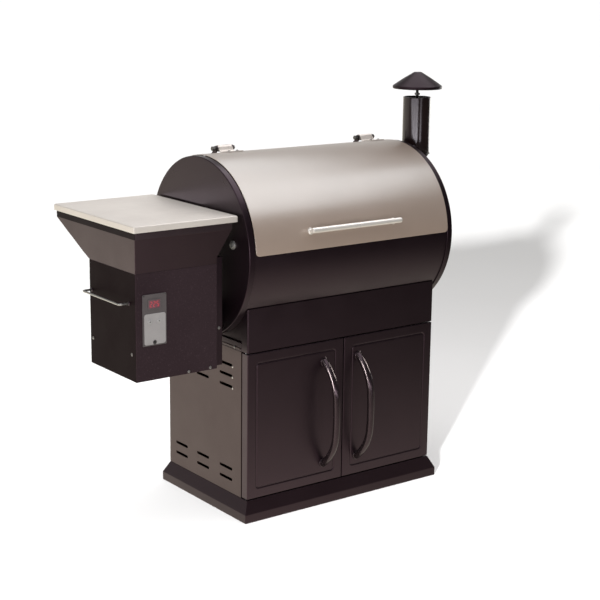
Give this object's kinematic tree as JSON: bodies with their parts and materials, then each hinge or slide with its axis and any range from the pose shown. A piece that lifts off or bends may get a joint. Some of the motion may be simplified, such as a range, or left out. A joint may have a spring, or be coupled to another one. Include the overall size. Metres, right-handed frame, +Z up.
{
  "type": "pellet smoker grill",
  "caption": "Horizontal barrel smoker on a two-door cabinet with a flared side hopper, rounded lift-up lid and capped chimney.",
  "frame": {"origin": "on the floor under the middle of the barrel, on the underside of the base strap", "axes": "+X towards the chimney end, along the barrel; +Y towards the back; +Z up; doors face -Y"},
  "size_m": [1.3472, 0.5833, 1.3346],
  "materials": {
    "black_steel": "satin powder coat, brownish black",
    "gloss_black_steel": "gloss enamel",
    "charcoal_texture": "matte textured powder coat",
    "champagne_lid": "satin metallic",
    "bright_steel": "satin",
    "zinc_steel": "dull zinc",
    "grate_iron": "matt enamel",
    "silver_plastic": "satin",
    "board_plastic": "matt",
    "black_plastic": "matt",
    "black_rubber": "matt"
  },
  "bodies": {
    "body": {"barrel_shell": "black_steel", "end_cap_left": "black_steel", "end_cap_right": "black_steel", "temp_probe": "zinc_steel", "lid_hinge_bracket_left": "black_steel", "lid_hinge_bracket_right": "black_steel", "lid_hinge_pin_left": "black_steel", "lid_hinge_pin_right": "black_steel", "grease_tray": "zinc_steel", "heat_baffle": "zinc_steel", "fire_pot": "grate_iron", "igniter_rod": "bright_steel", "chimney_pipe": "gloss_black_steel", "chimney_elbow": "gloss_black_steel", "vent_crossbar": "black_steel", "fascia_panel": "black_steel", "rear_apron": "black_steel", "cradle_left": "black_steel", "cradle_right": "black_steel", "cabinet_top": "black_steel", "cabinet_side_left": "black_steel", "cabinet_side_right": "black_steel", "cabinet_back": "black_steel", "cabinet_floor": "black_steel", "plinth_base": "black_steel", "door_hinge_rod_left": "zinc_steel", "door_hinge_rod_right": "zinc_steel", "hopper_shell": "charcoal_texture", "hopper_chassis": "charcoal_texture", "hopper_bin": "black_steel", "hopper_hinge_pin": "zinc_steel", "hopper_guard": "zinc_steel", "hopper_handle": "bright_steel", "control_bezel": "silver_plastic", "control_board": "board_plastic", "auger_tube": "zinc_steel", "auger_motor": "black_plastic", "fan_housing": "black_plastic", "drain_tube": "zinc_steel"},
    "lid": {"lid_skin": "champagne_lid", "lid_handle_bar": "bright_steel", "lid_handle_post_left": "bright_steel", "lid_handle_post_right": "bright_steel", "lid_hinge_leaf_left": "champagne_lid", "lid_hinge_leaf_right": "champagne_lid"},
    "hopper_cover": {"hopper_lid": "bright_steel"},
    "left_door": {"door_left": "black_steel", "door_handle_left": "gloss_black_steel"},
    "right_door": {"door_right": "black_steel", "door_handle_right": "gloss_black_steel"},
    "vent": {"vent_cap": "black_steel", "vent_rod": "zinc_steel"},
    "auger": {"auger_screw": "zinc_steel"},
    "fan": {"fan_impeller": "zinc_steel"},
    "power_key": {"power_button": "black_rubber"},
    "up_key": {"key_up": "silver_plastic"},
    "down_key": {"key_down": "silver_plastic"},
    "grates": {"cooking_grate": "grate_iron", "warming_rack": "zinc_steel"},
    "pail": {"grease_pail": "zinc_steel"}
  },
  "joints": [
    {"name": "lid_hinge", "type": "hinge", "parent": "body", "child": "lid", "pos_m": [0.0365, 0.08683, 1.11702], "axis": [-1, 0, 0], "range_deg": [0, 95]},
    {"name": "hopper_lid_hinge", "type": "hinge", "parent": "body", "child": "hopper_cover", "pos_m": [-0.585, 0.255, 0.95], "axis": [-1, 0, 0], "range_deg": [0, 95]},
    {"name": "door_left_hinge", "type": "hinge", "parent": "body", "child": "left_door", "pos_m": [-0.362, -0.207, 0.3], "axis": [0, 0, -1], "range_deg": [0, 110]},
    {"name": "door_right_hinge", "type": "hinge", "parent": "body", "child": "right_door", "pos_m": [0.362, -0.207, 0.3], "axis": [0, 0, 1], "range_deg": [0, 110]},
    {"name": "vent_lift", "type": "slide", "parent": "body", "child": "vent", "axis": [0, 0, 1], "range_m": [-0.025, 0.02]},
    {"name": "auger_spin", "type": "hinge", "parent": "body", "child": "auger", "pos_m": [-0.38, 0, 0.62], "axis": [1, 0, 0], "continuous": true},
    {"name": "fan_spin", "type": "hinge", "parent": "body", "child": "fan", "pos_m": [-0.59, -0.144, 0.562], "axis": [0, 1, 0], "continuous": true},
    {"name": "power_press", "type": "slide", "parent": "body", "child": "power_key", "axis": [0, 1, 0], "range_m": [0, 0.0015]},
    {"name": "key_up_press", "type": "slide", "parent": "body", "child": "up_key", "axis": [0, 1, 0], "range_m": [0, 0.0015]},
    {"name": "key_down_press", "type": "slide", "parent": "body", "child": "down_key", "axis": [0, 1, 0], "range_m": [0, 0.0015]},
    {"name": "grate_lift", "type": "slide", "parent": "body", "child": "grates", "axis": [0, 0, 1], "range_m": [0, 0.025]},
    {"name": "pail_lift", "type": "slide", "parent": "body", "child": "pail", "axis": [0, 0, 1], "range_m": [0, 0.012]}
  ]
}
